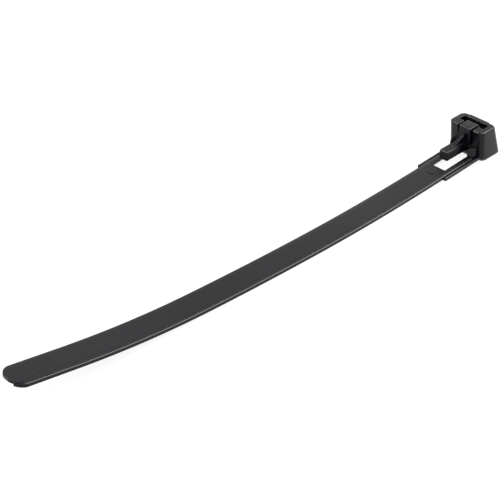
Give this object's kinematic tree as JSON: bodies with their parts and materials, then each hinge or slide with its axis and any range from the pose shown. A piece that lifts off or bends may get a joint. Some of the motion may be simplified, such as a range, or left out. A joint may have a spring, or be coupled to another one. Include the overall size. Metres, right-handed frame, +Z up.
{
  "type": "cable tie",
  "caption": "Releasable nylon cable tie: a flat notched strap with a box head, a ratchet pawl and a release lever over a window in the neck.",
  "frame": {"origin": "middle of the slot entry at the head underside, where the tail goes in", "axes": "+Z up, the way the tail leaves the slot; +X from the strap to the back of the head; the strap lies along -X"},
  "size_m": [0.1547, 0.0132, 0.0097],
  "materials": {
    "nylon": "as-moulded black nylon with a soft sheen"
  },
  "bodies": {
    "root": {"cable_tie": "nylon"}
  },
  "joints": []
}
